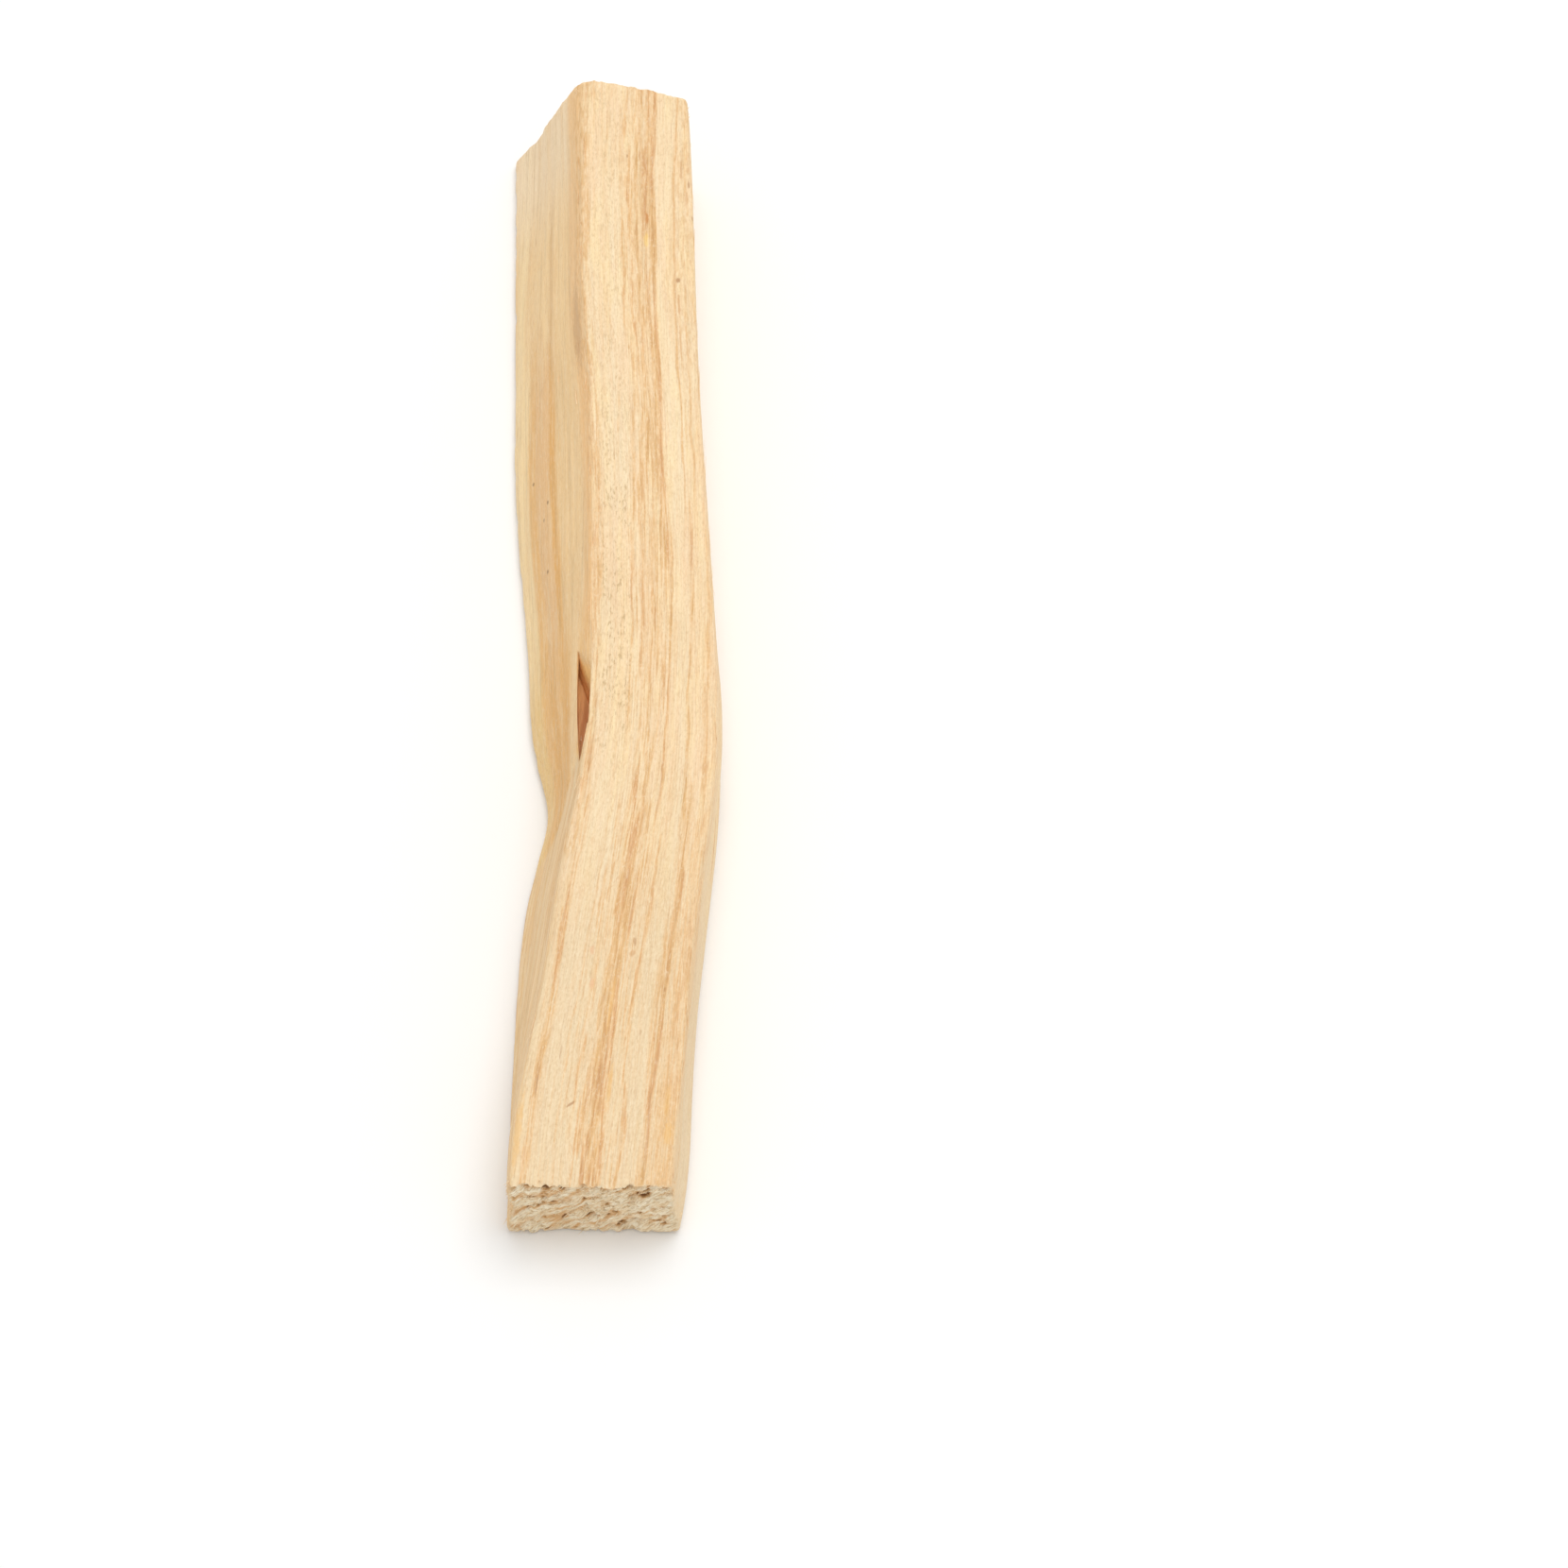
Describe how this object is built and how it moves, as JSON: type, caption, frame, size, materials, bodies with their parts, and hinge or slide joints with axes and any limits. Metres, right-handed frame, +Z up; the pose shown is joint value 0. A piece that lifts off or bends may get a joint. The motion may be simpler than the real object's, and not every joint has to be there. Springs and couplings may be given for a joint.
{
  "type": "palo santo stick",
  "caption": "Split stick of palo santo wood with a slight bend, torn sawn ends and a drying split, lying flat.",
  "frame": {"origin": "middle of the underside, at the bottom centre of the bounding box", "axes": "+Y along the stick from its thin sawn end to its thick end, +Z up from the underside, +X to the right seen from the thin end"},
  "size_m": [0.0176, 0.1001, 0.0118],
  "materials": {
    "wood": "bare dry split wood, matt, with fine straight grain and orange-tan growth streaks"
  },
  "bodies": {
    "root": {"stick": "wood"}
  },
  "joints": []
}
